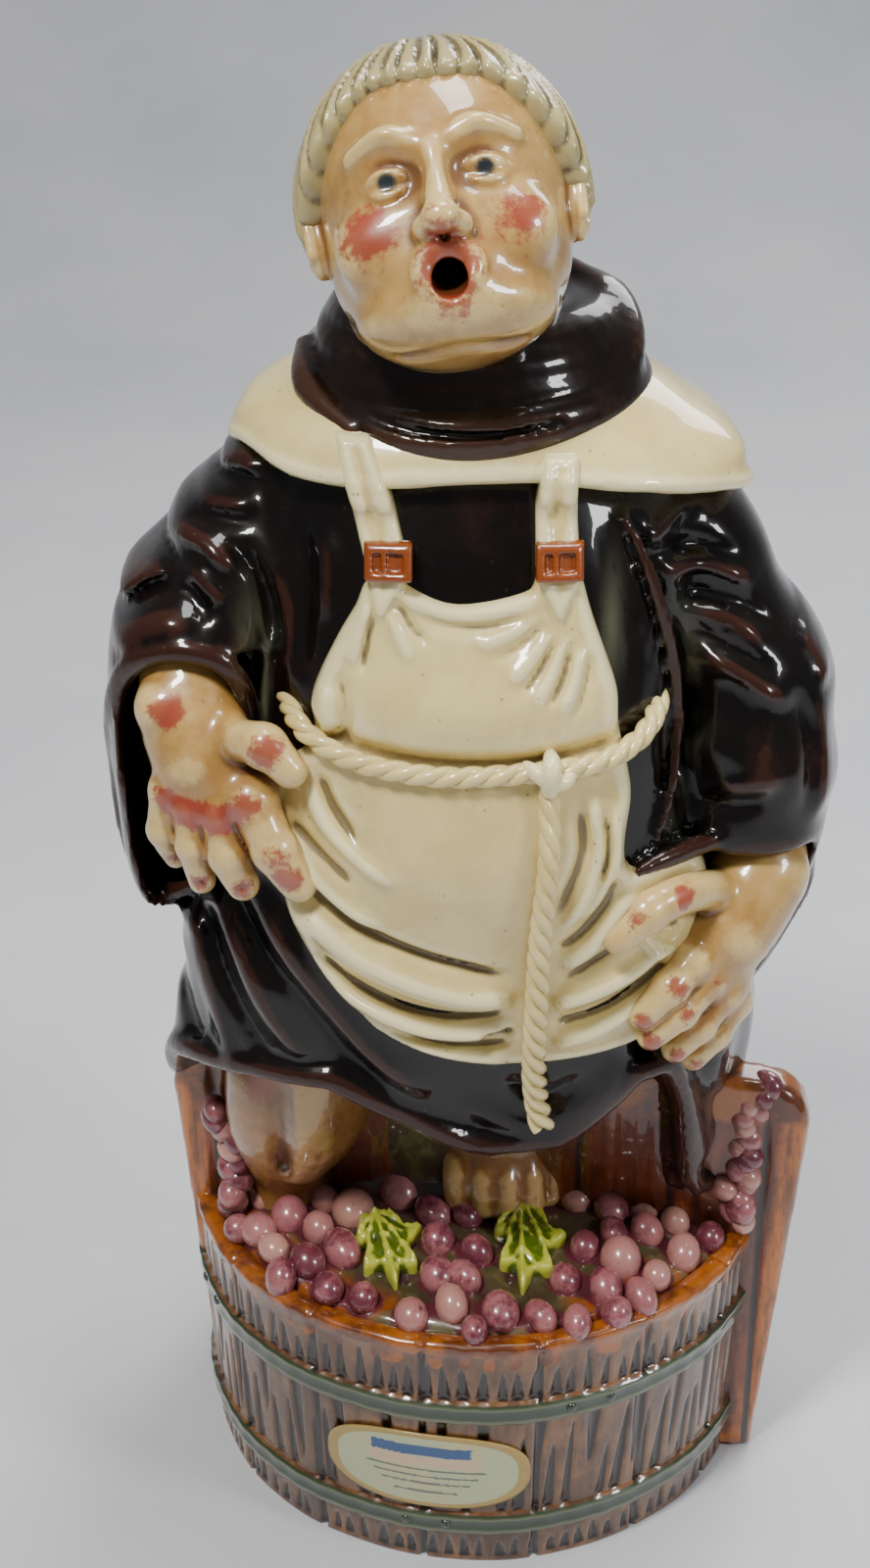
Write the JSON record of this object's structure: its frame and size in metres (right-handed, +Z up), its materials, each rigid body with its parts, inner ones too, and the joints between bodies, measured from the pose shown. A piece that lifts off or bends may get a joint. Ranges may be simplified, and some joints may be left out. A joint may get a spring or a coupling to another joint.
{
  "type": "figural decanter",
  "caption": "Hollow glazed ceramic decanter shaped as a robed friar in an apron, standing in a hooped tub of grapes before an upright board, pouring from the mouth.",
  "frame": {"origin": "middle of the round tub's underside, on the surface it stands on", "axes": "+Z up, the figure faces -Y, +X to the figure's left hand side"},
  "size_m": [0.1591, 0.1407, 0.3387],
  "materials": {
    "glazed_body": "gloss glaze over painted majolica colours",
    "label_paper": "coated paper with a metallic printed border"
  },
  "bodies": {
    "root": {"decanter_body": "glazed_body", "tub_label": "label_paper"}
  },
  "joints": []
}
